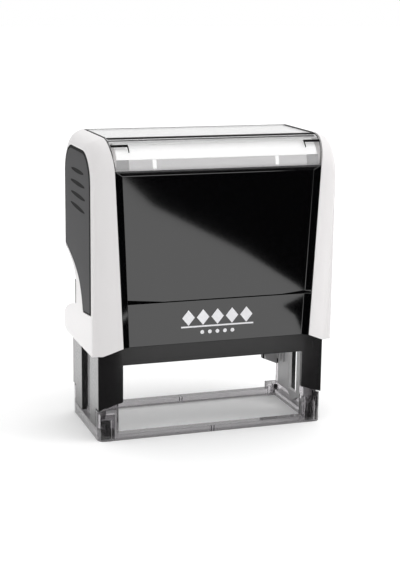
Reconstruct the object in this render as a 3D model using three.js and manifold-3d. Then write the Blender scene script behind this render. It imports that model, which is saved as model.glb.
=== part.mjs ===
// A self-inking stamp: a sprung cap slides down over a black frame, its axle turns the text plate
// from the ink pad to the paper, and the ink cassette pulls out at the back.
// Millimetres. +Z is up, +X is to the right seen from the front, and the front faces -Y.
// The origin is the middle of the footprint, on the surface the stamp stands on.

import * as THREE from 'three';
import { mergeVertices } from 'three/addons/utils/BufferGeometryUtils.js';
import Module from 'manifold-3d';

const wasm = await Module();
wasm.setup();

// ---------------------------------------------------------------- driving dimensions

const GAP = 0.3;                 // air between two pieces that touch on the real object

// Cap
const CAP_X = 35;                // half width
const CAP_Y = 18.8;              // half depth at the panels
const CAP_TOP = 83.1;
const CAP_BOTTOM = 24.3;
const CAP_ROUND = 8;             // radius of the front and rear top edges between the hoops
const CAP_INNER_X = 33.5;        // half width of the space for the frame
const CAP_INNER_Y = 16.4;
const CAP_ROOF = 77.5;           // underside of the roof
const SIDE_FRONT = 15.5;         // how far forward a side face reaches
const SIDE_REAR = 14.2;          // how far back it reaches, above the notch
const HIP_REAR = 16.5;           // the same, below the notch
const SIDE_TOP = 79.9;
const SIDE_ROUND = 8.8;          // radius of a side face's top corners
const SHOULDER_X = 30.4;         // half width of the top between the hoops
const PANEL_LOW_X = 27;          // half width of the panels at PANEL_LOW_Z
const PANEL_HIGH_X = 29.3;       // half width of the panels at PANEL_HIGH_Z
const PANEL_LOW_Z = 27.1;
const PANEL_HIGH_Z = 75.1;
const PANEL_THICK = 1.2;
const WINDOW_THICK = 1.1;
const WINDOW_REAR = 9.7;         // the index window's rear edge
const LEDGE_Z = 39;              // the front panel's step
const BADGE_X = 10.5;
const BADGE_LOW = 29;
const BADGE_HIGH = 36.6;
const GRIP_DEPTH = 0.75;
const NOTCH_LOW = 35.5;          // the notch at the back that gives access to the cassette
const NOTCH_HIGH = 49.9;
const NOTCH_FRONT = 1.8;
const HEEL_Y = 8.9;              // where the hips' heels start to rise
const REAR_BAR_TOP = 30.4;       // top of the bar that joins the hips behind the frame
const REAR_OPENING_X = 26.9;
const REAR_OPENING_TOP = 69;

// Frame and foot
const FRAME_X = 33;
const FRAME_Y = 16;
const FRAME_WALL = 1.5;
const FRAME_TOP = 50;
const FACET_X = 27;              // where the legs' faces start to turn outward
const FACET_Y = 14.65;
const WAIST_Z = 26.5;            // above this the rear corners are slimmer, to clear the cap
const WINDOW_X = 26.3;           // the see-through window between the legs
const WINDOW_TOP = 21.6;
const LEG_INNER_Z = 11.2;
const LEG_OUTER_Z = 8.8;
const TONGUE_Y = 11.7;           // the side wall's tongue between the legs
const TONGUE_Z = 3.5;
const SLOT_FRONT = 5.5;          // the slot that the axle runs down
const SLOT_REAR = 4.1;
const SLOT_TOP = 33;
const FOOT_X = 33;
const FOOT_Y = 15.05;
const FOOT_ROUND = 2;
const FOOT_RIM = 1.9;
const FOOT_BLOCK_X = 27.4;       // inner faces of the corner blocks
const REAR_POST_X = 31;          // the rear blocks are low, but for a post outside this
const REAR_BLOCK_TOP = 3.8;
const PEG_X = 30.2;
const PEG_Y = 13.4;
const PEG_R = 1.1;
const PEG_LOW = 0.4;
const FRONT_PEG_TOP = 5.7;
const REAR_PEG_TOP = 3.2;
const BUTTON_LOW = 35.1;         // the lock buttons, let into the frame's side walls
const BUTTON_TOP = 40.3;
const BUTTON_FRONT = 3;
const POST_Y = 10.3;             // a thin post behind each button
const POST_THICK = 1.4;

// Die, cassette and spring
const STROKE = 21.5;
const AXLE_Z = 30;               // at rest; it goes down by STROKE
const AXLE_R = 2.4;
const DIE_X = 25.3;
const DIE_Y = 9.3;
const DIE_FACE = 8;              // the text plate's face, measured from the axle
const CASSETTE_X = 26.5;
const CASSETTE_LOW = 38.7;
const CASSETTE_HIGH = 47;
const CRADLE_X = 29.2;
const CRADLE_Y = 14.2;
const CRADLE_LOW = 36.7;
const CRADLE_TOP = 49.2;
const TRAY_FRONT = -12.6;
const TRAY_REAR = 13.9;
const SPRING_R = 6;
const SPRING_WIRE = 0.9;
const SPRING_TURNS = 5;

const ARC_STEPS = 12;            // facets in a quarter turn of a visible edge
const HOOP_RINGS = 4;            // facets across a hoop
const HOOP_SWELL = 0.7;          // 0 is a flat chamfer, 1 a full quarter round

// ---------------------------------------------------------------- materials

function finish(color, roughness, metalness = 0, opacity = 1) {
  return () => new THREE.MeshStandardMaterial({
    color, roughness, metalness, opacity, transparent: opacity < 1,
  });
}

const whitePlastic = finish(0xe9e6e3, 0.4);
const softTouch = finish(0x4c4b4e, 0.75);
const glossBlack = finish(0x101012, 0.06);
const frameBlack = finish(0x2b292b, 0.35);
const liner = finish(0x9b9a9c, 0.4);
const smokyClear = finish(0xb9b6b8, 0.08, 0, 0.35);
const clearWindow = finish(0xf2f2f2, 0.05, 0, 0.3);
const card = finish(0xf6f4f1, 0.8);
const dieGrey = finish(0x6d7074, 0.5);
const foam = finish(0x3c3d40, 0.9);
const rubber = finish(0xa23a33, 0.7);
const inkFelt = finish(0x1a1f4a, 0.95);
const steel = finish(0xc4c6c8, 0.25, 1);
const silver = finish(0xd9dadc, 0.3, 0.6);

// ---------------------------------------------------------------- solids

// A closed geometry becomes a manifold solid once its shared vertices are merged.
function solid(geometry) {
  geometry.deleteAttribute('normal');
  geometry.deleteAttribute('uv');
  const merged = mergeVertices(geometry, 1e-4);
  return new wasm.Manifold(new wasm.Mesh({
    numProp: 3,
    vertProperties: new Float32Array(merged.attributes.position.array),
    triVerts: new Uint32Array(merged.index.array),
  }));
}

function toGeometry(manifold) {
  const mesh = manifold.getMesh();
  const geometry = new THREE.BufferGeometry();
  geometry.setAttribute('position', new THREE.BufferAttribute(mesh.vertProperties, 3));
  geometry.setIndex(new THREE.BufferAttribute(mesh.triVerts, 1));
  geometry.computeVertexNormals();
  return geometry;
}

function box(x0, x1, y0, y1, z0, z1) {
  const geometry = new THREE.BoxGeometry(x1 - x0, y1 - y0, z1 - z0);
  return solid(geometry.translate((x0 + x1) / 2, (y0 + y1) / 2, (z0 + z1) / 2));
}

function outline(points) {
  return points instanceof THREE.Shape
    ? points
    : new THREE.Shape(points.map(([a, b]) => new THREE.Vector2(a, b)));
}

function extrude(points, depth, segments = 7) {
  return new THREE.ExtrudeGeometry(outline(points), {
    depth, bevelEnabled: false, curveSegments: segments,
  });
}

// An outline in y and z, extruded along X.
function prismX(points, x0, x1, segments) {
  const turn = new THREE.Matrix4().makeBasis(
    new THREE.Vector3(0, 1, 0), new THREE.Vector3(0, 0, 1), new THREE.Vector3(1, 0, 0));
  return solid(extrude(points, x1 - x0, segments).applyMatrix4(turn).translate(x0, 0, 0));
}

// An outline in x and z, extruded along Y.
function prismY(points, y0, y1, segments) {
  const turn = new THREE.Matrix4().makeBasis(
    new THREE.Vector3(1, 0, 0), new THREE.Vector3(0, 0, 1), new THREE.Vector3(0, -1, 0));
  return solid(extrude(points, y1 - y0, segments).applyMatrix4(turn).translate(0, y1, 0));
}

// An outline in x and y, extruded along Z.
function prismZ(points, z0, z1, segments) {
  return solid(extrude(points, z1 - z0, segments).translate(0, 0, z0));
}

// A cylinder along X, about the line through (y, z).
function rodX(radius, x0, x1, y, z, sides = 16) {
  const geometry = new THREE.CylinderGeometry(radius, radius, x1 - x0, sides);
  return solid(geometry.rotateZ(Math.PI / 2).translate((x0 + x1) / 2, y, z));
}

// A cylinder along Z, about the line through (x, y).
function rodZ(radius, z0, z1, x = 0, y = 0, sides = 16) {
  const geometry = new THREE.CylinderGeometry(radius, radius, z1 - z0, sides);
  return solid(geometry.rotateX(Math.PI / 2).translate(x, y, (z0 + z1) / 2));
}

function mirrorX(points) {
  return points.map(([a, b]) => [-a, b]).reverse();
}

// The right half of an outline that is symmetric in x becomes the whole of it.
function bothSides(points) {
  return [...points, ...mirrorX(points)];
}

const group = new THREE.Group();
group.name = 'self_inking_stamp';

function add(name, shape, material) {
  const mesh = new THREE.Mesh(toGeometry(shape), material());
  mesh.name = name;
  group.add(mesh);
}

const SIDES = [['left', -1], ['right', 1]];

// Two distances from the middle plane, as an x range on one side of it.
function xRange(side, near, far) {
  return side < 0 ? [-far, -near] : [near, far];
}

// ---------------------------------------------------------------- cap

// The cap's side view between the hoops, set in by a distance: straight faces and round top edges.
function capProfile(inset, low = 0) {
  const face = CAP_Y - inset;
  const radius = CAP_ROUND - inset;
  const centre = CAP_Y - CAP_ROUND;
  const shape = new THREE.Shape();
  shape.moveTo(face, low);
  shape.lineTo(face, CAP_TOP - CAP_ROUND);
  shape.absarc(centre, CAP_TOP - CAP_ROUND, radius, 0, Math.PI / 2);
  shape.lineTo(-centre, CAP_TOP - inset);
  shape.absarc(-centre, CAP_TOP - CAP_ROUND, radius, Math.PI / 2, Math.PI);
  shape.lineTo(-face, low);
  shape.closePath();
  return shape;
}

// The half width of the tapering band between the hoops.
function bandHalf(z) {
  if (z > PANEL_HIGH_Z) {
    const up = (z - PANEL_HIGH_Z) / (CAP_TOP - PANEL_HIGH_Z);
    return THREE.MathUtils.lerp(PANEL_HIGH_X, SHOULDER_X, up);
  }
  const up = (z - PANEL_LOW_Z) / (PANEL_HIGH_Z - PANEL_LOW_Z);
  return THREE.MathUtils.lerp(PANEL_LOW_X, PANEL_HIGH_X, up);
}

// The band holds the panels and the window.
function panelBand(shrink) {
  const corners = [10, PANEL_HIGH_Z, CAP_TOP].map((z) => [bandHalf(z) - shrink, z]);
  return prismY(bothSides([...corners, [SHOULDER_X - shrink, 90]]), -30, 30);
}

// A point of the band's profile, drawn in to the smaller profile of a side face.
function drawnIn(y, z, rear) {
  const straight = CAP_TOP - CAP_ROUND;
  const growth = SIDE_ROUND / CAP_ROUND;
  const reach = y < 0 ? SIDE_FRONT : rear;
  const bend = Math.max(0, Math.abs(y) - (CAP_Y - CAP_ROUND)) * growth;
  const sideStraight = SIDE_TOP - SIDE_ROUND;
  return [
    Math.sign(y) * (reach - SIDE_ROUND + bend),
    z > straight ? sideStraight + (z - straight) * growth : z * sideStraight / straight,
  ];
}

// The cap's body: the band's profile between the hoops, running out to the two side faces. The
// pillars are flat low down, and swell into round hoops towards the top.
function capLoft(rear) {
  const rings = 2 * HOOP_RINGS + 1;
  const geometry = new THREE.ExtrudeGeometry(capProfile(0), {
    depth: rings, steps: rings, bevelEnabled: false, curveSegments: ARC_STEPS,
  });
  const points = geometry.attributes.position;
  for (let i = 0; i < points.count; i += 1) {
    const ring = Math.round(points.getZ(i));
    const side = ring <= HOOP_RINGS ? -1 : 1;
    const inward = Math.min(ring, rings - ring) / HOOP_RINGS;
    const [y, z] = [points.getX(i), points.getY(i)];
    const [sideY, sideZ] = drawnIn(y, z, rear);
    const corner = new THREE.Vector3(CAP_X, y, z);
    const toSide = new THREE.Vector3(0, sideY - y, sideZ - z);
    const toBand = new THREE.Vector3(bandHalf(z) - CAP_X, 0, 0);
    const swell = HOOP_SWELL * THREE.MathUtils.smoothstep(z, NOTCH_HIGH, PANEL_HIGH_Z);
    const turn = inward * Math.PI / 2;
    const sidePart = THREE.MathUtils.lerp(1 - inward, 1 - Math.sin(turn), swell);
    const bandPart = THREE.MathUtils.lerp(inward, 1 - Math.cos(turn), swell);
    const place = corner.addScaledVector(toSide, sidePart).addScaledVector(toBand, bandPart);
    points.setXYZ(i, side * place.x, place.y, place.z);
  }
  return solid(geometry);
}

function capBody() {
  const upper = capLoft(SIDE_REAR).intersect(box(-40, 40, -30, 30, NOTCH_LOW, 90));
  const lower = capLoft(HIP_REAR).intersect(box(-40, 40, -30, 30, CAP_BOTTOM, NOTCH_LOW));
  return upper.add(lower);
}

// The inside seen from above: straight walls with slanted corners.
function cavityPlan(sideRear) {
  return bothSides([
    [29.5, -CAP_INNER_Y], [CAP_INNER_X, -14.8], [CAP_INNER_X, sideRear], [29.5, CAP_INNER_Y],
  ]);
}

function capCavity() {
  const upper = prismZ(cavityPlan(13.6), NOTCH_LOW - 0.1, 90);
  const lower = prismZ(cavityPlan(15.2), 10, NOTCH_LOW);
  const roof = prismX([
    [CAP_INNER_Y, 0], [CAP_INNER_Y, CAP_ROOF - 4], [CAP_INNER_Y - 4, CAP_ROOF],
    [4 - CAP_INNER_Y, CAP_ROOF], [-CAP_INNER_Y, CAP_ROOF - 4], [-CAP_INNER_Y, 0],
  ], -40, 40);
  return upper.add(lower).intersect(roof);
}

// The pillars' lower ends rise towards the panels.
function capLowerEdge() {
  return prismY(bothSides([
    [0, CAP_BOTTOM - 5], [CAP_X + 5, CAP_BOTTOM - 5], [CAP_X + 5, CAP_BOTTOM],
    [32.2, CAP_BOTTOM + 0.5], [PANEL_LOW_X, PANEL_LOW_Z], [0, PANEL_LOW_Z],
  ]), -30, 30);
}

// The notch at the back of the side faces: it sweeps up behind the grip, and its floor falls back
// over the hip to the rear bar.
function capNotch() {
  const shape = new THREE.Shape();
  shape.moveTo(30, REAR_BAR_TOP);
  shape.lineTo(30, NOTCH_HIGH);
  shape.lineTo(SIDE_REAR, NOTCH_HIGH);
  shape.quadraticCurveTo(3.8, 47.2, NOTCH_FRONT, 42);
  shape.lineTo(NOTCH_FRONT, NOTCH_LOW);
  shape.quadraticCurveTo(10, 34, 13.8, 31.9);
  shape.lineTo(16, REAR_BAR_TOP);
  shape.closePath();
  return prismX(shape, -40, 40, ARC_STEPS);
}

// The hips' heels rise to the back.
function hipHeels() {
  return prismX([[HEEL_Y, CAP_BOTTOM - 1], [30, CAP_BOTTOM - 1], [30, 29.7]], -40, 40);
}

// The outline of a soft grip on the side face, in y and z. It follows the face's edge at a small
// distance, and its lower rear edge sweeps forward under the palm.
function gripOutline(inset) {
  const front = inset - SIDE_FRONT + 0.3;
  const rear = SIDE_REAR - 0.1 - inset;
  const top = SIDE_TOP - 0.4 - inset;
  const round = SIDE_ROUND - 0.4 - inset;
  const low = 35.3 + inset;
  const shape = new THREE.Shape();
  shape.moveTo(-6 - inset, low - 0.5);
  shape.lineTo(1 + front, low + 0.3);
  shape.quadraticCurveTo(front, low + 0.4, front, low + 1.6);
  shape.lineTo(front, top - round);
  shape.absarc(front + round, top - round, round, Math.PI, Math.PI / 2, true);
  shape.lineTo(rear - round, top);
  shape.absarc(rear - round, top - round, round, Math.PI / 2, 0, true);
  shape.lineTo(rear, 50.6 + inset);
  shape.quadraticCurveTo(0.5 - inset, 46.4 + inset, -2.8 - inset, 42);
  shape.quadraticCurveTo(-5.2 - inset, 38.8, -6 - inset, low - 0.5);
  return shape;
}

function capShell() {
  const frontAndRear = panelBand(0).subtract(prismX(capProfile(1.5), -40, 40, ARC_STEPS));
  const top = panelBand(0)
    .intersect(box(-40, 40, -30, 12, 75.4, 95))
    .subtract(prismX(capProfile(2.2), -40, 40, ARC_STEPS));
  const rearOpening = box(-REAR_OPENING_X, REAR_OPENING_X, 0, 30, REAR_BAR_TOP, REAR_OPENING_TOP);
  let shell = capBody()
    .subtract(capCavity())
    .subtract(capLowerEdge())
    .subtract(capNotch())
    .subtract(hipHeels())
    .subtract(frontAndRear.intersect(box(-40, 40, -30, 0, 0, 95)))
    .subtract(frontAndRear.intersect(box(-40, 40, 0, 30, NOTCH_HIGH - 1, 95)))
    .subtract(top)
    .subtract(rearOpening);
  for (const [, side] of SIDES) {
    const recessDepth = xRange(side, CAP_X - GRIP_DEPTH - GAP, CAP_X + 1);
    const recess = prismX(gripOutline(0), ...recessDepth, ARC_STEPS);
    const bearing = rodX(AXLE_R + GAP, ...xRange(side, 33, 34.3), 0, AXLE_Z);
    shell = shell.subtract(recess).subtract(bearing);
  }
  return shell;
}

// A skin of the cap's own profile, as wide as the band between the hoops.
function bandSkin(outerInset, thickness) {
  return prismX(capProfile(outerInset, 10), -40, 40, ARC_STEPS)
    .subtract(prismX(capProfile(outerInset + thickness, 5), -41, 41, ARC_STEPS))
    .intersect(panelBand(GAP));
}

function frontPanel() {
  const face = box(-40, 40, -30, 0, PANEL_LOW_Z, PANEL_HIGH_Z - GAP);
  const hollow = prismY(bothSides([
    [25.7, LEDGE_Z], [27.7, PANEL_HIGH_Z - 1.4],
  ]), -30, 0.4 - CAP_Y);
  const pocketX = BADGE_X + GAP;
  const pocket = box(-pocketX, pocketX, -30, 0.8 - CAP_Y, BADGE_LOW - GAP, BADGE_HIGH + GAP);
  return bandSkin(0, PANEL_THICK).intersect(face).subtract(hollow).subtract(pocket);
}

// A plain inlaid mark: five lozenges over a line, on a thin plate.
function panelBadge() {
  const front = 0.05 - CAP_Y;
  const plate = 0.2 - CAP_Y;
  const back = 0.5 - CAP_Y;
  const middle = 34.1;
  let badge = box(-BADGE_X, BADGE_X, plate, back, BADGE_LOW, BADGE_HIGH)
    .add(box(1 - BADGE_X, BADGE_X - 1, front, back, 31, 31.5));
  for (let i = -2; i <= 2; i += 1) {
    const x = i * 4;
    const lozenge = [[x - 1.5, middle], [x, middle - 1.7], [x + 1.5, middle], [x, middle + 1.7]];
    badge = badge.add(prismY(lozenge, front, back));
  }
  return badge;
}

function rearPanel() {
  const opening = box(-REAR_OPENING_X, REAR_OPENING_X, 0, 30, 0, REAR_OPENING_TOP);
  return bandSkin(0, PANEL_THICK)
    .intersect(box(-40, 40, WINDOW_REAR + GAP, 30, NOTCH_HIGH, 95))
    .subtract(opening);
}

function indexWindow() {
  return bandSkin(0, WINDOW_THICK).intersect(box(-40, 40, -30, WINDOW_REAR, PANEL_HIGH_Z, 95));
}

function indexCard() {
  return bandSkin(WINDOW_THICK + GAP, 0.4)
    .intersect(box(-28.4, 28.4, -30, WINDOW_REAR - 0.5, 76.2, 95));
}

add('cap_shell', capShell(), whitePlastic);
add('front_panel', frontPanel(), glossBlack);
add('panel_badge', panelBadge(), silver);
add('rear_panel', rearPanel(), glossBlack);
add('index_card', indexCard(), card);
add('index_window', indexWindow(), clearWindow);
for (const [name, side] of SIDES) {
  const depth = xRange(side, CAP_X - GRIP_DEPTH, CAP_X);
  add(`${name}_grip`, prismX(gripOutline(GAP), ...depth, ARC_STEPS), softTouch);
}
const cupTop = CAP_ROOF - GAP;
const springCup = rodZ(9.2, cupTop - 4, cupTop).subtract(rodZ(7.8, cupTop - 6, cupTop - 1));
add('spring_cup', springCup, whitePlastic);

// ---------------------------------------------------------------- frame

function framePlan(halfX, halfY, facetX, frontFacet, rearFacet) {
  return bothSides([
    [facetX, -halfY], [halfX, -frontFacet], [halfX, rearFacet], [facetX, halfY],
  ]);
}

// The legs end on a slant, lower at the outside.
function belowLegs() {
  return prismY(bothSides([
    [0, -5], [FRAME_X + 2, -5], [FRAME_X + 2, LEG_OUTER_Z - 0.7], [WINDOW_X, LEG_INNER_Z],
    [0, LEG_INNER_Z],
  ]), -30, 30);
}

function frame() {
  const tongueBand = box(-40, 40, -TONGUE_Y, TONGUE_Y, TONGUE_Z, 40);
  const lower = prismZ(framePlan(FRAME_X, FRAME_Y, FACET_X, FACET_Y, FACET_Y), TONGUE_Z, WAIST_Z);
  const legs = lower.subtract(belowLegs()).add(lower.intersect(tongueBand));
  const upper = prismZ(framePlan(FRAME_X, FRAME_Y, FACET_X, FACET_Y, 13.2), WAIST_Z, FRAME_TOP);
  const innerX = FRAME_X - FRAME_WALL;
  const innerY = FRAME_Y - FRAME_WALL;
  const innerFacet = FACET_Y - 1.2;
  const lowCavity = prismZ(framePlan(innerX, innerY, FACET_X, innerFacet, innerFacet), -5, WAIST_Z);
  const highCavity = prismZ(framePlan(innerX, innerY, FACET_X, innerFacet, 12), WAIST_Z - 0.1, 90);
  const aboveHips = box(-40, 40, 9, 30, 31.5, 90)
    .subtract(box(-FACET_X, FACET_X, 9, 30, 31, 36.4))
    .subtract(box(-40, 40, POST_Y, POST_Y + POST_THICK, 31, BUTTON_TOP));
  let body = legs.add(upper)
    .subtract(lowCavity)
    .subtract(highCavity)
    .subtract(box(-WINDOW_X, WINDOW_X, -30, 30, -5, WINDOW_TOP))
    .subtract(box(-40, 40, -SLOT_FRONT, SLOT_REAR, -5, SLOT_TOP))
    .subtract(aboveHips)
    .subtract(box(-40, 40, 1.4, 30, BUTTON_TOP, 90));
  for (const [, side] of SIDES) {
    body = body.subtract(box(...xRange(side, 31, 40), BUTTON_FRONT, POST_Y, BUTTON_LOW - GAP, 50));
  }
  return body;
}

add('frame', frame(), frameBlack);

// The clear foot: a rim on the paper and a block under each leg, hollow from below. The rear blocks
// are low, with a post at the outer corner.
function roundedRect(halfX, halfY, radius) {
  const shape = new THREE.Shape();
  shape.moveTo(halfX, -halfY + radius);
  shape.lineTo(halfX, halfY - radius);
  shape.absarc(halfX - radius, halfY - radius, radius, 0, Math.PI / 2);
  shape.lineTo(radius - halfX, halfY);
  shape.absarc(radius - halfX, halfY - radius, radius, Math.PI / 2, Math.PI);
  shape.lineTo(-halfX, radius - halfY);
  shape.absarc(radius - halfX, radius - halfY, radius, Math.PI, 1.5 * Math.PI);
  shape.lineTo(halfX - radius, -halfY);
  shape.absarc(halfX - radius, radius - halfY, radius, 1.5 * Math.PI, 2 * Math.PI);
  return shape;
}

const CORNERS = [
  ['front_left', -1, -1],
  ['front_right', 1, -1],
  ['rear_left', -1, 1],
  ['rear_right', 1, 1],
];

function clearFoot() {
  const plan = prismZ(roundedRect(FOOT_X, FOOT_Y, FOOT_ROUND), 0, 20, 8);
  const rim = plan.intersect(box(-40, 40, -30, 30, 0, FOOT_RIM))
    .subtract(box(-29.5, 29.5, -12.6, 12.6, -1, 5));
  const sideWalls = plan.intersect(box(-40, 40, -12.2, 12.2, 0, TONGUE_Z - GAP))
    .subtract(box(GAP - FRAME_X + 1.2, FRAME_X - 1.2 - GAP, -30, 30, -1, 5));
  const blockTop = prismY(bothSides([
    [FOOT_BLOCK_X, 0], [FOOT_X + 1, 0], [FOOT_X + 1, LEG_OUTER_Z - 0.7 - GAP],
    [FOOT_BLOCK_X, LEG_INNER_Z - 0.4 - GAP],
  ]), -30, 30);
  const corners = box(-40, 40, 12, 30, 0, 20).add(box(-40, 40, -30, -12, 0, 20));
  const blocks = plan.intersect(blockTop).intersect(corners)
    .subtract(box(-FOOT_BLOCK_X, FOOT_BLOCK_X, -30, 30, -1, 30));
  let foot = rim.add(sideWalls).add(blocks);
  for (const [, sx, sy] of CORNERS) {
    const front = sy < 0;
    const hollow = front ? box(28.3, 32.1, 12.9, 14.2, -1, 7.3) : box(28.3, 30.1, 12.9, 14.2, -1, 2.8);
    const pegTop = front ? FRONT_PEG_TOP : REAR_PEG_TOP;
    foot = foot
      .subtract(hollow.scale([sx, sy, 1]))
      .subtract(rodZ(PEG_R + GAP, -1, pegTop + GAP, sx * PEG_X, sy * PEG_Y, 12));
  }
  return foot.subtract(box(-REAR_POST_X, REAR_POST_X, 11, 30, REAR_BLOCK_TOP, 30));
}

add('clear_foot', clearFoot(), smokyClear);
for (const [name, sx, sy] of CORNERS) {
  const pegTop = sy < 0 ? FRONT_PEG_TOP : REAR_PEG_TOP;
  add(`foot_peg_${name}`, rodZ(PEG_R, PEG_LOW, pegTop, sx * PEG_X, sy * PEG_Y, 10), frameBlack);
}

// A ribbed plate inside each side wall guides the axle. Its tip reaches down into the foot, and a
// flange at its rear edge lines the inside of the rear leg.
function guidePlate(side) {
  const high = BUTTON_LOW - 0.5;
  const waist = WAIST_Z - 0.5;
  const tip = FOOT_RIM + GAP;
  const plate = prismX([
    [-11.4, 4], [-3.6, 4], [-1, tip], [1, tip], [3.6, 4], [11.4, 4], [11.4, 12], [13.1, 12],
    [13.1, waist], [11.4, waist], [11.4, high], [-13.1, high], [-13.1, 12], [-11.4, 12],
  ], 30.2, 31.2);
  const flange = prismY([[30.3, 9.8], [30.3, waist], [26.4, waist], [26.4, 11.5]], 12.5, 13.1);
  let ribbed = plate.add(flange);
  for (const y of [-12.4, -10.2, -8, 6.8, 9, 11.2]) {
    ribbed = ribbed.add(box(29.7, 30.3, y - 0.35, y + 0.35, 12, high - 1));
  }
  const slot = box(25, 35, -2.9, 2.9, AXLE_Z - STROKE - 3.5, SLOT_TOP);
  return ribbed.subtract(slot).scale([side, 1, 1]);
}

for (const [name, side] of SIDES) {
  add(`guide_plate_${name}`, guidePlate(side), liner);
}

// The cradle that the ink cassette slides into, open below over the die and open at the back.
// Its top is a shallow tray round the spring.
function padCradle() {
  const plan = framePlan(CRADLE_X, CRADLE_Y, 26.8, 13, 12.7);
  const trayX = CRADLE_X - 1.4;
  const trayY = CRADLE_Y - 1.2;
  const slideX = CASSETTE_X + GAP;
  const dieX = DIE_X + GAP;
  const front = TRAY_FRONT - GAP;
  return prismZ(plan, CRADLE_LOW, CRADLE_TOP + 4.5)
    .subtract(box(-trayX, trayX, -trayY, trayY, CRADLE_TOP, 90))
    .subtract(box(-slideX, slideX, front, 30, CASSETTE_LOW - GAP, CASSETTE_HIGH + GAP))
    .subtract(box(-dieX, dieX, front, 30, 0, 40));
}

add('pad_cradle', padCradle(), frameBlack);
const postLow = CRADLE_TOP + GAP;
add('spring_post', rodZ(4.4, postLow, 54.6).subtract(rodZ(3.2, postLow + 1, 60)), frameBlack);

// ---------------------------------------------------------------- die

// Everything on the die turns about the axle, so heights are measured from it.
function dieCarrier() {
  return prismX([
    [-DIE_Y, 5.2], [-DIE_Y, 3.4], [-4, 1.6], [-4, -3], [-3, -4], [3, -4], [4, -3], [4, 1.6],
    [DIE_Y, 3.4], [DIE_Y, 5.2],
  ].map(([y, z]) => [y, AXLE_Z + z]).reverse(), -DIE_X, DIE_X);
}

function textPlate() {
  let plate = box(-23.5, 23.5, -9, 9, AXLE_Z + 6.6, AXLE_Z + 7.4);
  for (const y of [-6, -2, 2, 6]) {
    const half = y === -6 ? 20 : 14;
    plate = plate.add(box(-half, half, y - 0.9, y + 0.9, AXLE_Z + 7.3, AXLE_Z + DIE_FACE));
  }
  return plate;
}

add('die_carrier', dieCarrier(), dieGrey);
add('die_cushion', box(-24, 24, -9.1, 9.1, AXLE_Z + 5.5, AXLE_Z + 6.3), foam);
add('text_plate', textPlate(), rubber);
for (const [name, side] of SIDES) {
  const cam = rodX(6, 25.6, 29.2, 0, AXLE_Z, 24).subtract(box(25, 30, 4.2, 10, AXLE_Z - 2, AXLE_Z + 2));
  add(`cam_disc_${name}`, cam.scale([side, 1, 1]), dieGrey);
  add(`axle_pin_${name}`, rodX(AXLE_R, 29.5, 34, 0, AXLE_Z).scale([side, 1, 1]), dieGrey);
}

// ---------------------------------------------------------------- ink cassette

function inkTray() {
  const wall = 1.5;
  const inner = CASSETTE_X - wall;
  return box(-CASSETTE_X, CASSETTE_X, TRAY_FRONT, TRAY_REAR, CASSETTE_LOW, CASSETTE_HIGH)
    .subtract(box(-inner, inner, TRAY_FRONT + wall, TRAY_REAR - 2.5, 0, CASSETTE_HIGH - wall));
}

function cassetteHandle() {
  const grip = [[14.2, 39.4], [15.6, 39.4], [16.1, 40.4], [16.1, 45.3], [15.6, 46.3], [14.2, 46.3]];
  return prismX(grip, -20, 20).subtract(box(-9, 9, 15.1, 20, 41, 44.8));
}

add('ink_tray', inkTray(), frameBlack);
const padX = CASSETTE_X - 1.8;
const pad = box(-padX, padX, TRAY_FRONT + 1.8, TRAY_REAR - 2.8, CASSETTE_LOW + 0.1, CASSETTE_HIGH - 1.8);
add('ink_pad', pad, inkFelt);
add('cassette_handle', cassetteHandle(), frameBlack);

// ---------------------------------------------------------------- lock buttons and return spring

for (const [name, side] of SIDES) {
  const button = box(31.4, FRAME_X, BUTTON_FRONT + GAP, POST_Y - GAP, BUTTON_LOW, BUTTON_TOP);
  add(`lock_button_${name}`, button.scale([side, 1, 1]), whitePlastic);
}

class Coil extends THREE.Curve {
  getPoint(t) {
    const angle = 2 * Math.PI * SPRING_TURNS * t;
    const low = CRADLE_TOP + GAP + SPRING_WIRE / 2;
    const high = CAP_ROOF - 1 - GAP - SPRING_WIRE / 2 - 0.2;
    return new THREE.Vector3(
      SPRING_R * Math.cos(angle), SPRING_R * Math.sin(angle), low + (high - low) * t);
  }
}

function returnSpring() {
  const section = [];
  for (let i = 0; i < 6; i += 1) {
    const angle = (i / 6) * 2 * Math.PI;
    section.push([SPRING_WIRE / 2 * Math.cos(angle), SPRING_WIRE / 2 * Math.sin(angle)]);
  }
  return solid(new THREE.ExtrudeGeometry(outline(section), {
    steps: SPRING_TURNS * 14, bevelEnabled: false, extrudePath: new Coil(),
  }));
}

add('return_spring', returnSpring(), steel);

export default group;
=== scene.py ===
# A self-inking stamp, put together as on a bench: clear foot, black frame, die, ink cassette, return
# spring, white cap with its panels and grips, and the clear index window on top. Metres throughout.
from math import cos, pi, radians, sin

import bmesh
import bpy
from mathutils import Matrix, Vector


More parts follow.
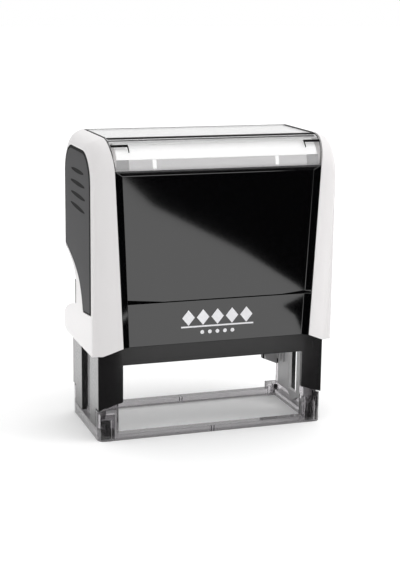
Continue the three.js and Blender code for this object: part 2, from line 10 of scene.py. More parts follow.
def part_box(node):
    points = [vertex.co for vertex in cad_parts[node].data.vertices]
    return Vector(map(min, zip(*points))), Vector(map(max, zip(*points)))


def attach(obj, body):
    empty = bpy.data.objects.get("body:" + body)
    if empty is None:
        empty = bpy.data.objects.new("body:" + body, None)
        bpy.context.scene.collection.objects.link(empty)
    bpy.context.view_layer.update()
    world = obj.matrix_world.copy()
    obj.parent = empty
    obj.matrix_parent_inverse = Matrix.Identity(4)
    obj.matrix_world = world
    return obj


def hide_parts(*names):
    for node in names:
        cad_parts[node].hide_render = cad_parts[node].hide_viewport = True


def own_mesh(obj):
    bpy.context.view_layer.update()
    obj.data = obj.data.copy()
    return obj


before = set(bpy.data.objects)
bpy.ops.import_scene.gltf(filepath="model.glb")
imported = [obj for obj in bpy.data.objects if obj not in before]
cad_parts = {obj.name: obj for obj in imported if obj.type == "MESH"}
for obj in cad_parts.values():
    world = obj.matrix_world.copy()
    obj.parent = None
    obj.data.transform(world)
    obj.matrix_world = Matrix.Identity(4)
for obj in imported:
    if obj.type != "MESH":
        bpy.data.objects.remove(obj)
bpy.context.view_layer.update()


# ---- Studio ----
# A long-lens camera a little above the stamp and to its left, on a white sweep that glows a little so
# that it burns out to white. A soft key from the right, a sky that is brightest overhead, and three
# black cards and a bright one, laid flat where only reflections see them.
yaw, pitch, roll = radians(18.795), radians(12.741), radians(0.678)
level_right = Vector((cos(yaw), -sin(yaw), 0))
forward = Vector((sin(yaw) * cos(pitch), cos(yaw) * cos(pitch), -sin(pitch)))
level_up = level_right.cross(forward)
camera = bpy.data.objects.new("camera", bpy.data.cameras.new("camera"))
bpy.context.scene.collection.objects.link(camera)
right = cos(roll) * level_right + sin(roll) * level_up
up = cos(roll) * level_up - sin(roll) * level_right
aim = Matrix((right, up, -forward)).transposed().to_4x4()
camera.matrix_world = Matrix.Translation((-0.12118, -0.35862, 0.12462)) @ aim
camera.data.lens = 85.78
camera.data.clip_start = 0.01
bpy.context.scene.camera = camera
bpy.context.scene.view_settings.view_transform = "Standard"

key = bpy.data.objects.new("key_box", bpy.data.lights.new("key_box", "AREA"))
key.data.size = 0.5
key.data.energy = 1.9
key.location = (0.7, -0.3, 0.8)
key.rotation_euler = (Vector((0, 0, 0.03)) - key.location).to_track_quat("-Z", "Y").to_euler()
bpy.context.scene.collection.objects.link(key)

# Matt surfaces are lit by a sky that grows from the horizon to the zenith and towards the right.
# Everything else sees an even white.
world = bpy.data.worlds.new("studio_air")
world.use_nodes = True
sky = world.node_tree
direction = sky.nodes.new("ShaderNodeTexCoord")
slope = sky.nodes.new("ShaderNodeVectorMath")
slope.operation = "DOT_PRODUCT"
slope.inputs[1].default_value = (0.2, 0.0, 1.42)
sky.links.new(direction.outputs["Generated"], slope.inputs[0])
strength = sky.nodes.new("ShaderNodeMath")
strength.operation = "ADD"
strength.inputs[1].default_value = 0.14
sky.links.new(slope.outputs["Value"], strength.inputs[0])
rays = sky.nodes.new("ShaderNodeLightPath")
level = sky.nodes.new("ShaderNodeMix")
level.inputs[2].default_value = 1.0
sky.links.new(rays.outputs["Is Diffuse Ray"], level.inputs["Factor"])
sky.links.new(strength.outputs[0], level.inputs[3])
sky.links.new(level.outputs[0], sky.nodes["Background"].inputs["Strength"])
sky.nodes["Background"].inputs["Color"].default_value = (1, 1, 1, 1)
bpy.context.scene.world = world


def stage_sheet(name, corners, height, color, glow=0):
    bm = bmesh.new()
    bm.faces.new([bm.verts.new((x, y, height)) for x, y in corners])
    bmesh.ops.triangulate(bm, faces=bm.faces)
    mesh = bpy.data.meshes.new(name)
    bm.to_mesh(mesh)
    bm.free()
    sheet = bpy.data.objects.new(name, mesh)
    bpy.context.scene.collection.objects.link(sheet)
    material = bpy.data.materials.new(name)
    material.use_nodes = True
    shader = material.node_tree.nodes["Principled BSDF"]
    shader.inputs["Base Color"].default_value = (color, color, color, 1)
    shader.inputs["Roughness"].default_value = 0.8
    shader.inputs["Specular IOR Level"].default_value = 0
    shader.inputs["Emission Color"].default_value = (1, 1, 1, 1)
    shader.inputs["Emission Strength"].default_value = glow
    mesh.materials.append(material)
    return sheet


sweep = 3
corners = ((-sweep, -sweep), (sweep, -sweep), (sweep, sweep), (-sweep, sweep))
stage_sheet("white_sweep", corners, 0, 0.94, glow=0.1)
# The right-hand card's curved left edge is what the gloss panel shows as a curved black corner.
right_card = (
    (0.75, 0), (0.06, -0.085), (0.0625, -0.101), (0.0735, -0.137), (0.075, -0.153), (0.092, -0.17),
    (0.0945, -0.185), (0.0985, -0.261), (0.0945, -0.395), (0.1085, -0.508), (0.16, -0.9), (0.75, -1.2),
)
left_card = (
    (-0.81, -0.03), (-0.81, -1.2), (0.12, -1.2), (0.075, -0.55), (0.035, -0.33), (0.01, -0.2), (-0.01, -0.1),
    (-0.01, -0.03),
)
for name, corners, glow in (
    ("card_right", right_card, 0),
    ("card_left", left_card, 0),
    ("card_front", ((-0.05, -0.018), (-0.05, -0.075), (0.12, -0.075), (0.12, -0.018)), 0),
    ("card_bright", ((-0.16, 0.01), (-0.04, 0.01), (-0.04, 0.17), (-0.16, 0.17)), 1.9),
):
    card = stage_sheet(name, corners, 0.0004, 0.002, glow)
    card.visible_camera = False
    card.visible_diffuse = False
    card.visible_shadow = False
    card.visible_transmission = False


# ---- Clear foot ----
# The foot that stands on the paper: a rim, low side walls and four corner blocks, injection moulded
# in one shot of smoke-tinted clear plastic. It snaps over the ends of the frame's legs.
def moulded(node, radius, segments=2, angle=35):
    bm = bmesh.new()
    bm.from_mesh(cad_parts[node].data)
    bmesh.ops.remove_doubles(bm, verts=bm.verts, dist=1e-6)
    bmesh.ops.dissolve_limit(bm, angle_limit=radians(0.5), verts=bm.verts, edges=bm.edges)
    round_edges(bm, radius, segments, angle)
    return bm


def round_edges(bm, radius, segments=2, angle=35):
    sharp = [e for e in bm.edges if e.is_manifold and e.calc_face_angle(0) > radians(angle)]
    bmesh.ops.bevel(
        bm, geom=sharp, offset=radius, offset_type="OFFSET", affect="EDGES", segments=segments,
        profile=0.5, material=-1, clamp_overlap=True,
    )


def piece(name, bm, body, material, *nodes, smooth=35):
    mesh = bpy.data.meshes.new(name)
    bm.to_mesh(mesh)
    bm.free()
    obj = bpy.data.objects.new(name, mesh)
    bpy.context.scene.collection.objects.link(obj)
    mesh.materials.append(material)
    mesh.polygons.foreach_set("use_smooth", [True] * len(mesh.polygons))
    mesh.set_sharp_from_angle(angle=radians(smooth))
    obj.modifiers.new("even_faces", "WEIGHTED_NORMAL").keep_sharp = True
    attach(obj, body)
    if nodes:
        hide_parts(*nodes)
    return obj


# Plastic as it leaves the tool: slow patches of tone and shine, a fine grain from the spark-eroded
# steel, and flow lines that run up the part from the gate.
def skin_group():
    group = bpy.data.node_groups.new("moulded_skin", "ShaderNodeTree")
    for name, kind, value in (
        ("Color", "NodeSocketColor", (0.5, 0.5, 0.5, 1)), ("Tone Spread", "NodeSocketFloat", 0.05),
        ("Roughness", "NodeSocketFloat", 0.4), ("Roughness Spread", "NodeSocketFloat", 0.05),
        ("Patch Scale", "NodeSocketFloat", 60.0), ("Grain Scale", "NodeSocketFloat", 2500.0),
        ("Grain Depth", "NodeSocketFloat", 0.00001),
    ):
        group.interface.new_socket(name, in_out="INPUT", socket_type=kind).default_value = value
    for name, kind in (("Color", "Color"), ("Roughness", "Float"), ("Normal", "Vector")):
        group.interface.new_socket(name, in_out="OUTPUT", socket_type="NodeSocket" + kind)
    new, link = group.nodes.new, group.links.new
    source, sink = new("NodeGroupInput"), new("NodeGroupOutput")
    place = new("ShaderNodeTexCoord")
    patches = new("ShaderNodeTexNoise")
    patches.inputs["Detail"].default_value = 4
    link(place.outputs["Object"], patches.inputs["Vector"])
    link(source.outputs["Patch Scale"], patches.inputs["Scale"])
    stretch = new("ShaderNodeMapping")
    stretch.inputs["Scale"].default_value = (900, 900, 25)
    link(place.outputs["Object"], stretch.inputs["Vector"])
    flow = new("ShaderNodeTexNoise")
    flow.inputs["Scale"].default_value = 1
    link(stretch.outputs["Vector"], flow.inputs["Vector"])
    mixed = new("ShaderNodeMath")
    mixed.operation = "MULTIPLY_ADD"
    link(flow.outputs["Fac"], mixed.inputs[0])
    mixed.inputs[1].default_value = 0.4
    link(patches.outputs["Fac"], mixed.inputs[2])
    offset = new("ShaderNodeMath")
    offset.operation = "SUBTRACT"
    link(mixed.outputs[0], offset.inputs[0])
    offset.inputs[1].default_value = 0.7
    tone = new("ShaderNodeMath")
    tone.operation = "MULTIPLY_ADD"
    link(offset.outputs[0], tone.inputs[0])
    link(source.outputs["Tone Spread"], tone.inputs[1])
    tone.inputs[2].default_value = 1
    shade = new("ShaderNodeVectorMath")
    shade.operation = "SCALE"
    link(source.outputs["Color"], shade.inputs[0])
    link(tone.outputs[0], shade.inputs["Scale"])
    link(shade.outputs[0], sink.inputs["Color"])
    rough = new("ShaderNodeMath")
    rough.operation = "MULTIPLY_ADD"
    rough.use_clamp = True
    link(offset.outputs[0], rough.inputs[0])
    link(source.outputs["Roughness Spread"], rough.inputs[1])
    link(source.outputs["Roughness"], rough.inputs[2])
    link(rough.outputs[0], sink.inputs["Roughness"])
    grain = new("ShaderNodeTexNoise")
    grain.inputs["Detail"].default_value = 3
    link(place.outputs["Object"], grain.inputs["Vector"])
    link(source.outputs["Grain Scale"], grain.inputs["Scale"])
    bump = new("ShaderNodeBump")
    link(grain.outputs["Fac"], bump.inputs["Height"])
    link(source.outputs["Grain Depth"], bump.inputs["Distance"])
    link(bump.outputs["Normal"], sink.inputs["Normal"])
    return group


moulded_skin = skin_group()


def plastic(name, color, roughness, tone=0.05, shine=0.06, grain=2500, depth=0.00001, **sockets):
    material = bpy.data.materials.new("finish_" + name)
    material["slot"] = name
    material.use_nodes = True
    nodes, links = material.node_tree.nodes, material.node_tree.links
    shader = nodes["Principled BSDF"]
    skin = nodes.new("ShaderNodeGroup")
    skin.node_tree = moulded_skin
    skin.inputs["Color"].default_value = (*color, 1)
    skin.inputs["Tone Spread"].default_value = tone
    skin.inputs["Roughness"].default_value = roughness
    skin.inputs["Roughness Spread"].default_value = shine
    skin.inputs["Grain Scale"].default_value = grain
    skin.inputs["Grain Depth"].default_value = depth
    for socket in ("Roughness", "Normal"):
        links.new(skin.outputs[socket], shader.inputs[socket])
    links.new(skin.outputs["Color"], shader.inputs["Base Color"])
    for socket, value in sockets.items():
        shader.inputs[socket.replace("_", " ")].default_value = value
    return material


smoky_clear = plastic(
    "smoky_clear", (0.5, 0.485, 0.5), 0.03, tone=0.03, shine=0.02, depth=0.000001,
    IOR=1.49, Transmission_Weight=1)
bm = moulded("clear_foot", 0.0003, 3)
wall_start, wall_rise = 0.0068, 0.00022
for vert in bm.verts:
    if vert.co.z > wall_start:
        vert.co.z += wall_rise
piece("clear_foot_moulding", bm, "base", smoky_clear, "clear_foot")

# ---- Foot pegs ----
# Four black pegs pressed up into the corner blocks, turned with a round head and a waist. The front
# two have a flat key across the foot's hollow, so that they can't turn.
frame_black = plastic("frame_black", (0.009, 0.0085, 0.009), 0.26, grain=4000, depth=0.00001, IOR=1.56)
key_width, key_thick, key_height, key_y = 0.0034, 0.001, 0.0028, -0.01355


def lathe(bm, profile, middle, steps=32):
    rim = [bm.verts.new(Vector((middle[0] + r, middle[1], z))) for r, z in profile]
    edges = [bm.edges.new(pair) for pair in zip(rim, rim[1:])]
    bmesh.ops.spin(
        bm, geom=rim + edges, cent=middle, axis=(0, 0, 1), angle=2 * pi, steps=steps, use_merge=True,
    )
    bmesh.ops.remove_doubles(bm, verts=bm.verts, dist=1e-6)
    bmesh.ops.recalc_face_normals(bm, faces=bm.faces)


for corner in ("front_left", "front_right", "rear_left", "rear_right"):
    low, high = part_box("foot_peg_" + corner)
    middle = (low + high) / 2
    radius = (high.y - low.y) / 2
    waist = (low.z + high.z) / 2
    bm = bmesh.new()
    lathe(bm, (
        (0, low.z), (radius * 0.8, low.z), (radius, low.z + 0.0003), (radius, waist - 0.0007),
        (radius * 0.75, waist - 0.0004), (radius * 0.75, waist + 0.0004), (radius, waist + 0.0007),
        (radius, high.z - 0.0006), (radius * 0.6, high.z - 0.0001), (0, high.z),
    ), middle)
    if "front" in corner:
        key_plate = bmesh.ops.create_cube(bm, size=1)["verts"]
        bmesh.ops.scale(bm, vec=(key_width, key_thick, key_height), verts=key_plate)
        bmesh.ops.translate(bm, vec=(middle.x, key_y, low.z + key_height / 2), verts=key_plate)
    piece(f"foot_peg_{corner}_turned", bm, "base", frame_black, "foot_peg_" + corner)

# ---- Position marks ----
# A pair of short black bars printed on the middle of the front and rear rims, to line the print up.
foot_low, foot_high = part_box("clear_foot")
half_pair, proud, bar_middle = 0.0004, 0.00004, 0.00095
bm = bmesh.new()
for y in (foot_low.y - proud, foot_high.y + proud):
    for x in (-half_pair, half_pair):
        bar = bmesh.ops.create_cube(bm, size=1)["verts"]
        bmesh.ops.scale(bm, vec=(0.00025, 0.00012, 0.0017), verts=bar)
        bmesh.ops.translate(bm, vec=(x, y, bar_middle), verts=bar)
round_edges(bm, 0.00003)
piece("position_marks", bm, "base", frame_black)

# ---- Frame ----
# The black skeleton that stands in the foot and that the cap slides over: crossbars, slanted legs
# and a slot in each side for the axle. One moulding in satin ABS.
piece("frame_moulding", moulded("frame", 0.00025, 3), "base", frame_black, "frame")

# ---- Guide plates ----
# Light grey liners clipped inside the frame's side walls. Their ribs are slippery tracks for the
# axle, and a flange lines each rear leg.
liner_grey = plastic("liner_grey", (0.5, 0.495, 0.5), 0.35, tone=0.12, grain=1500, depth=0.00002)
for side in ("left", "right"):
    node = "guide_plate_" + side
    piece(f"{side}_guide_plate_moulding", moulded(node, 0.00012), "base", liner_grey, node)

# ---- Die carrier ----
# The bar that turns over at each press, moulded in grey with the two cams and the axle pins that run
# in the slots.
die_grey = plastic("die_grey", (0.12, 0.13, 0.14), 0.45, grain=3000, depth=0.00001)
piece("die_carrier_moulding", moulded("die_carrier", 0.0003), "die", die_grey, "die_carrier")
for side in ("left", "right"):
    for part, radius in (("cam_disc_", 0.0003), ("axle_pin_", 0.0004)):
        node = part + side
        piece(node + "_moulding", moulded(node, radius, 3, angle=50), "die", die_grey, node)


# ---- Die cushion ----
# A thin sheet of black cell foam glued to the carrier, so that the text plate prints evenly.
def crowned_pad(node, crown, cuts=14):
    low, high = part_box(node)
    middle, size = (low + high) / 2, high - low
    bm = bmesh.new()
    bmesh.ops.create_cube(bm, size=1)
    long_edges = [e for e in bm.edges if abs((e.verts[0].co - e.verts[1].co).z) < 0.5]
    bmesh.ops.subdivide_edges(bm, edges=long_edges, cuts=cuts, use_grid_fill=True)
    bmesh.ops.scale(bm, vec=(size.x, size.y, size.z - crown), verts=bm.verts)
    bmesh.ops.translate(bm, vec=middle - Vector((0, 0, crown / 2)), verts=bm.verts)
    round_edges(bm, size.z * 0.2, 3, angle=60)
    for vert in bm.verts:
        if vert.co.z > middle.z:
            across = 1 - ((vert.co.x - middle.x) / (size.x / 2)) ** 6
            along = 1 - ((vert.co.y - middle.y) / (size.y / 2)) ** 6
            vert.co.z += crown * max(0, across * along)
    return bm


foam = plastic("foam", (0.03, 0.03, 0.033), 0.9, grain=2200, depth=0.0003)
cushion = piece("die_cushion_foam", crowned_pad("die_cushion", 0.0001), "die", foam, "die_cushion", smooth=60)

# ---- Text plate ----
# The laser-cut rubber plate that prints: a raised frame and bars of plain blocks, as a specimen
# would have, stuck down on the foam.
rubber = plastic("rubber", (0.3, 0.035, 0.028), 0.6, tone=0.2, grain=3500, depth=0.00004)
piece("text_plate_rubber", moulded("text_plate", 0.00012), "die", rubber, "text_plate")

# ---- Pad cradle ----
# The open box in the frame's head that the ink cassette slides into from behind, with a shallow tray
# on top for the spring. Black ABS.
piece("pad_cradle_moulding", moulded("pad_cradle", 0.0003), "base", frame_black, "pad_cradle")

# ---- Ink cassette ----
# A black tray that opens downward over the die and holds the felt. Its handle at the back has a
# finger pocket and grip ribs.
piece("ink_tray_moulding", moulded("ink_tray", 0.0003), "cassette", frame_black, "ink_tray")
ink_felt = plastic("ink_felt", (0.01, 0.013, 0.07), 0.95, tone=0.5, grain=3500, depth=0.0003)
felt = piece("ink_pad_felt", crowned_pad("ink_pad", 0.0002), "cassette", ink_felt, "ink_pad", smooth=60)
bm = moulded("cassette_handle", 0.00035, 3)
handle_low, handle_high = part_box("cassette_handle")
rib_count, first_rib, rib_pitch = 6, 0.0112, 0.0013
for side in (-1, 1):
    for i in range(rib_count):
        rib = bmesh.ops.create_cube(bm, size=1)["verts"]
        bmesh.ops.scale(bm, vec=(0.0006, 0.0004, 0.0044), verts=rib)
        place = (side * (first_rib + i * rib_pitch), handle_high.y, (handle_low.z + handle_high.z) / 2)
        bmesh.ops.translate(bm, vec=place, verts=rib)
piece("cassette_handle_moulding", bm, "cassette", frame_black, "cassette_handle")

# ---- Cap shell ----
# The white casing that the palm presses: two round hoops at the ends, joined behind the panels, with
# hips that wrap round the frame below. Glossy-satin ABS.
white_plastic = plastic("white_plastic", (0.78, 0.762, 0.762), 0.36, tone=0.025, grain=3000, depth=0.000006)
piece("cap_shell_moulding", moulded("cap_shell", 0.00022, 3), "cap", white_plastic, "cap_shell")

# ---- Lock buttons ----
# White push buttons let into the frame's sides, which free the cassette. Each has three thumb ribs.
thumb_pitch, rib_margin = 0.0012, 0.0009
for side, turn in (("left", -1), ("right", 1)):
    node = "lock_button_" + side
    low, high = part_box(node)
    bm = moulded(node, 0.0003, 3)
    for i in (-1, 0, 1):
        rib = bmesh.ops.create_cube(bm, size=1)["verts"]
        bmesh.ops.scale(bm, vec=(0.0005, high.y - low.y - 2 * rib_margin, 0.0004), verts=rib)
        middle = (low + high) / 2
        face = low.x if turn < 0 else high.x
        bmesh.ops.translate(bm, vec=(face, middle.y, middle.z + i * thumb_pitch), verts=rib)
    piece(f"{side}_lock_button_moulding", bm, side + "_button", white_plastic, node)

# ---- Return spring ----
# One coil of hard-drawn steel wire between a post on the cradle and a cup under the roof.
piece("spring_post_moulding", moulded("spring_post", 0.0003, 3), "base", frame_black, "spring_post")
piece("spring_cup_moulding", moulded("spring_cup", 0.0003, 3), "cap", white_plastic, "spring_cup")
spring_steel = plastic("spring_steel", (0.55, 0.55, 0.57), 0.25, tone=0.15, shine=0.2, Metallic=1)
coil_low, coil_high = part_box("return_spring")
wire, coil_radius, turns, turn_steps, stroke = 0.00045, 0.006, 5, 40, 0.0215
bm = bmesh.new()
bmesh.ops.create_circle(bm, segments=12, radius=wire)
bmesh.ops.rotate(bm, matrix=Matrix.Rotation(pi / 2, 3, "X"), verts=bm.verts)
bmesh.ops.translate(bm, vec=(coil_radius, 0, coil_low.z + wire), verts=bm.verts)
rise = (coil_high.z - coil_low.z - 2 * wire) / (turns * turn_steps)
bmesh.ops.spin(
    bm, geom=bm.verts[:] + bm.edges[:], cent=(0, 0, 0), axis=(0, 0, 1), dvec=(0, 0, rise),
    angle=2 * pi * turns, steps=turns * turn_steps,
)
bmesh.ops.holes_fill(bm, edges=[e for e in bm.edges if e.is_boundary])
bmesh.ops.recalc_face_normals(bm, faces=bm.faces)
spring = piece("return_spring_coil", bm, "base", spring_steel, "return_spring", smooth=60)
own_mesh(spring)

# ---- Front panel ----
# A piano-black plate let into the cap's front: a chamfered border on three sides of a sunken face, and
# a ledge two thirds of the way down over a deeper band for the mark.
gloss_black = plastic(
    "gloss_black", (0.0012, 0.0012, 0.0014), 0.05, shine=0.02, depth=0.0000003, IOR=1.79)
low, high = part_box("front_panel")
fit, side_border, top_border, sunk, ledge, step = 0.00022, 0.0019, 0.0013, 0.00055, 0.039, 0.0004
low_half = fit + max(v.co.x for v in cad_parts["front_panel"].data.vertices if v.co.z < low.z + 1e-5)
top_half, top = high.x + fit, high.z + fit
bm = bmesh.new()


def panel_point(across, z, depth, border=0):
    half = low_half + (z - low.z) / (top - low.z) * (top_half - low_half)
    return bm.verts.new((across * (half - border), low.y + depth, z))


# The face above the ledge hangs a little over the band, and the ledge widens towards both ends.
ledge_line = ((-1, 0.0012), (-0.6, 0.00025), (0.72, 0.00025), (1, 0.0009))
ledge_top = [panel_point(across, ledge + rise, sunk, side_border) for across, rise in ledge_line]
ledge_foot = [panel_point(across, ledge, sunk + step, side_border) for across, rise in ledge_line]
face_top = [panel_point(across, top - top_border, sunk, side_border) for across in (-1, 1)]
band_foot = [panel_point(across, low.z, sunk + step, side_border) for across in (-1, 1)]
rim_top = [panel_point(across, top, 0) for across in (-1, 1)]
bm.faces.new([*ledge_top, face_top[1], face_top[0]])
bm.faces.new([*ledge_foot, band_foot[1], band_foot[0]])
bm.faces.new([rim_top[0], rim_top[1], face_top[1], face_top[0]])
for i in range(3):
    bm.faces.new([ledge_foot[i], ledge_foot[i + 1], ledge_top[i + 1], ledge_top[i]])
for i, across in ((0, -1), (1, 1)):
    inner = [face_top[i], ledge_top[-i], ledge_foot[-i], band_foot[i]]
    outer = [rim_top[i], *(panel_point(across, v.co.z, 0) for v in inner[1:])]
    for j in range(3):
        bm.faces.new([outer[j], inner[j], inner[j + 1], outer[j + 1]])
rim = [e for e in bm.edges if e.is_boundary]
skirt = bmesh.ops.extrude_edge_only(bm, edges=rim)["geom"]
for vert in skirt:
    if isinstance(vert, bmesh.types.BMVert):
        vert.co.y = high.y
bmesh.ops.edgeloop_fill(bm, edges=[e for e in bm.edges if e.is_boundary])
bmesh.ops.recalc_face_normals(bm, faces=bm.faces)
round_edges(bm, 0.00013, 3, angle=12)
piece("front_panel_plate", bm, "cap", gloss_black, "front_panel")

# ---- Panel badge ----
# A plain mark in hot-stamped silver foil on the panel's lower band: five lozenges over a rule, with a
# row of dots below.
silver_foil = plastic("silver_foil", (0.82, 0.82, 0.84), 0.32, tone=0.3, grain=3000, Metallic=0.4)
foil_back, foil_lift = low.y + sunk + step + 0.00004, 0.00009
lozenge_row, rule_row, dot_row = 0.0342, 0.03165, 0.03
lozenge_pitch, dot_pitch, half_rule = 0.0042, 0.0022, 0.0105
bm = bmesh.new()


def stamp_foil(bm, middle, radius, sides, stretch=(1, 1), turn=0.0):
    disc = bmesh.ops.create_circle(bm, segments=sides, radius=radius, cap_ends=True)["verts"]
    bmesh.ops.rotate(bm, matrix=Matrix.Rotation(turn, 3, "Z"), verts=disc)
    bmesh.ops.scale(bm, vec=(*stretch, 1), verts=disc)
    bmesh.ops.rotate(bm, matrix=Matrix.Rotation(pi / 2, 3, "X"), verts=disc)
    bmesh.ops.translate(bm, vec=(middle[0], foil_back, middle[1]), verts=disc)
    face = disc[0].link_faces[0]
    lifted = bmesh.ops.extrude_face_region(bm, geom=[face])["geom"]
    tops = [v for v in lifted if isinstance(v, bmesh.types.BMVert)]
    bmesh.ops.translate(bm, vec=(0, -foil_lift, 0), verts=tops)


for i in range(-2, 3):
    stamp_foil(bm, (i * lozenge_pitch, lozenge_row), 0.0019, 4, stretch=(0.95, 1.15))
    stamp_foil(bm, (i * dot_pitch, dot_row), 0.00055, 16)
stamp_foil(bm, (0, rule_row), half_rule * 2 ** 0.5, 4, stretch=(1, 0.02), turn=pi / 4)
bmesh.ops.recalc_face_normals(bm, faces=bm.faces)
piece("badge_foil", bm, "cap", silver_foil, "panel_badge")

# ---- Rear panel ----
# The matching piano-black skin over the back of the roof and the rear face, cut away below for the
# cassette.
piece("rear_panel_plate", moulded("rear_panel", 0.0003, 3), "cap", gloss_black, "rear_panel")

# ---- Grips ----
# Soft-touch pads over-moulded on the side faces. Four finger grooves are pressed into the upper part
# of each. A matt black sheet under each pad shows past its edges, most at the front and top, as a
# fine dark line: painted shade for the gap round it.
soft_touch = plastic(
    "soft_touch", (0.034, 0.0335, 0.036), 0.6, tone=0.1, grain=5000, depth=0.00003, Specular_IOR_Level=0.2)
matt_black = plastic(
    "frame_black", (0.003, 0.0029, 0.003), 0.7, grain=4000, depth=0.00002, Specular_IOR_Level=0.08)
front_shade_margin, top_shade_margin, shade_gap_width, shade_sheet_inset = 0.0012, 0.0005, 0.00024, 0.00005
groove_depth, half_groove = 0.0008, 0.0006
grooves = (((0.0062, 0.0731), (-0.0078, 0.0731)), ((0.0071, 0.0698), (-0.0089, 0.0696)),
           ((0.0068, 0.0666), (-0.0094, 0.0662)), ((0.0073, 0.0635), (-0.0088, 0.0627)))
for side, turn in (("left", -1), ("right", 1)):
    node = side + "_grip"
    low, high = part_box(node)
    face = low.x if turn < 0 else high.x
    bm = moulded(node, 0.0003, 4, angle=60)
    # The pad is drawn back from its front and top edges so that the black sheet shows there as painted shade.
    for vert in bm.verts:
        vert.co.y = high.y - (high.y - vert.co.y) * (1 - front_shade_margin / (high.y - low.y))
        vert.co.z = low.z + (vert.co.z - low.z) * (1 - top_shade_margin / (high.z - low.z))
    grip = piece(node + "_pad", bm, "cap", soft_touch, node)
    # A matt black copy of the pad, grown a little past its rim and set just under its face: a sheet of
    # painted shade for the gap.
    bm = moulded(node, 0.00005, 1)
    for vert in bm.verts:
        out = Vector((0, vert.normal.y, vert.normal.z))
        if out.length > 0.3:
            vert.co += out.normalized() * shade_gap_width
    outer = [vert for vert in bm.verts if abs(vert.co.x) > abs(face) - 1e-4]
    bmesh.ops.translate(bm, vec=(-turn * shade_sheet_inset, 0, 0), verts=outer)
    piece(node + "_gap_shade_sheet", bm, "cap", matt_black)
    bm = bmesh.new()
    for start, end in grooves:
        (y0, z0), (y1, z1) = start, end
        dent = bmesh.ops.create_uvsphere(bm, u_segments=48, v_segments=24, radius=1)["verts"]
        bmesh.ops.scale(bm, vec=(groove_depth, (y0 - y1) / 2, half_groove), verts=dent)
        bmesh.ops.rotate(bm, matrix=Matrix.Rotation((z0 - z1) / (y0 - y1), 3, "X"), verts=dent)
        bmesh.ops.translate(bm, vec=(face, (y0 + y1) / 2, (z0 + z1) / 2), verts=dent)
    mesh = bpy.data.meshes.new("groove_tool")
    bm.to_mesh(mesh)
    bm.free()
    tool = bpy.data.objects.new("groove_tool", mesh)
    bpy.context.scene.collection.objects.link(tool)
    press = grip.modifiers.new("grooves", "BOOLEAN")
    press.operation = "DIFFERENCE"
    press.solver = "EXACT"
    press.object = tool
    grip.modifiers.move(1, 0)
    bpy.context.view_layer.update()
    pressed_mesh = bpy.data.meshes.new_from_object(grip.evaluated_get(bpy.context.evaluated_depsgraph_get()))
    grip.modifiers.remove(press)
    grip.data = pressed_mesh
    pressed_mesh.name = grip.name
    bpy.data.objects.remove(tool)

# ---- Index card ----
# A plain white card of thin board, bent over the roof and held by its window. It is given a little
# light of its own, most on the front rounding, so that it reads as white through the window.
card = plastic("card", (0.95, 0.948, 0.945), 0.8, tone=0.02, grain=6000, depth=0.00002)
card_nodes, card_links = card.node_tree.nodes, card.node_tree.links
card_place = card_nodes.new("ShaderNodeTexCoord")
card_height = card_nodes.new("ShaderNodeSeparateXYZ")
card_links.new(card_place.outputs["Object"], card_height.inputs[0])
card_glow = card_nodes.new("ShaderNodeMapRange")
for socket, value in (("From Min", 0.0795), ("From Max", 0.0815), ("To Min", 0.4), ("To Max", 0.06)):
    card_glow.inputs[socket].default_value = value
card_links.new(card_height.outputs["Z"], card_glow.inputs["Value"])
card_links.new(card_glow.outputs["Result"], card_nodes["Principled BSDF"].inputs["Emission Color"])
card_nodes["Principled BSDF"].inputs["Emission Strength"].default_value = 1
piece("index_card_sheet", moulded("index_card", 0.0001, 1), "cap", card, "index_card", smooth=60)

# ---- Window trim ----
# A pale grey lip between the card and the window holds the card's front edge down. It has darker ends
# and two small white stops.
window_low, window_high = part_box("index_window")
bend_radius = 0.008
bend = Vector((0, window_low.y + bend_radius, window_low.z))


def arc_strip(bm, x0, x1, start, end, inset, thickness=0.00012, steps=10):
    before = set(bm.faces)
    bend_start = Vector((0, -cos(radians(start)), sin(radians(start)))) * (bend_radius - inset)
    ends = [bm.verts.new(bend + bend_start + Vector((x, 0, 0))) for x in (x0, x1)]
    line = bm.edges.new(ends)
    bmesh.ops.spin(
        bm, geom=ends + [line], cent=bend, axis=(1, 0, 0), angle=-radians(end - start), steps=steps)
    strip = [face for face in bm.faces if face not in before]
    bmesh.ops.recalc_face_normals(bm, faces=strip)
    bmesh.ops.solidify(bm, geom=strip, thickness=thickness)


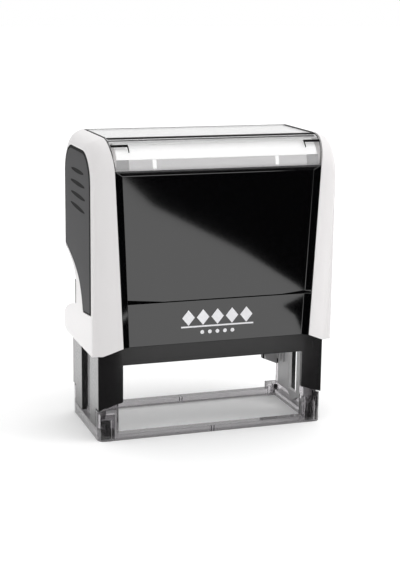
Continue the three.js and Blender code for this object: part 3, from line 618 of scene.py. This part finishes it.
lip_grey = plastic("liner_grey", (0.88, 0.87, 0.875), 0.4, tone=0.05)
half_lip, lip_end, half_stop = 0.0285, 0.0252, 0.0005
lip_inset, top_layer, thin = 0.00118, 0.00113, 0.00003
bm = bmesh.new()
arc_strip(bm, -half_lip, half_lip, 1, 23, lip_inset)
piece("card_lip", bm, "cap", lip_grey)
bm = bmesh.new()
for side in (-1, 1):
    x0, x1 = sorted((side * (half_lip + 0.0001), side * lip_end))
    arc_strip(bm, x0, x1, 2, 23, top_layer, thickness=thin)
piece("card_lip_ends", bm, "cap", liner_grey)
bm = bmesh.new()
# The stops are in the card's material, so they carry its painted glow as well.
for x in (-0.0182, 0.0165):
    arc_strip(bm, x - half_stop, x + half_stop, 3, 22, top_layer, thickness=thin)
piece("card_lip_tabs", bm, "cap", card)

# ---- Index window ----
# The clear cover that snaps over the card: roof and front rounding in one curved moulding of acrylic.
# It has a black bar at the top of the rounding, a clip at each end, two edge seams and a fine grey rule.
clear_window = plastic(
    "clear_window", (0.98, 0.98, 0.98), 0.02, tone=0.01, shine=0.01, depth=0.0000005,
    IOR=1.49, Transmission_Weight=1)
piece("index_window_cover", moulded("index_window", 0.0002, 2), "window_cover", clear_window, "index_window")
half_bar, clip_end, tail_end, above = 0.0297, 0.0252, 0.0249, -0.00004
bm = bmesh.new()
arc_strip(bm, -half_bar, half_bar, 74, 85, above, steps=6)
for side in (-1, 1):
    x0, x1 = sorted((side * half_bar, side * clip_end))
    arc_strip(bm, x0, x1, 49, 55, above, steps=4)
    x0, x1 = sorted((side * clip_end, side * tail_end))
    arc_strip(bm, x0, x1, 36, 55, above, steps=8)
for x, width in ((-0.02985, 0.0003), (0.0295, 0.0009)):
    seam = bmesh.ops.create_cube(bm, size=1)["verts"]
    bmesh.ops.scale(bm, vec=(width, 0.0202, 0.00012), verts=seam)
    bmesh.ops.translate(bm, vec=(x, -0.0006, window_high.z), verts=seam)
piece("window_clips", bm, "window_cover", matt_black)
bm = bmesh.new()
arc_strip(bm, -0.0295, 0.0295, 61.5, 64, -0.00002, thickness=0.00005, steps=3)
piece("window_rule", bm, "window_cover", liner_grey)
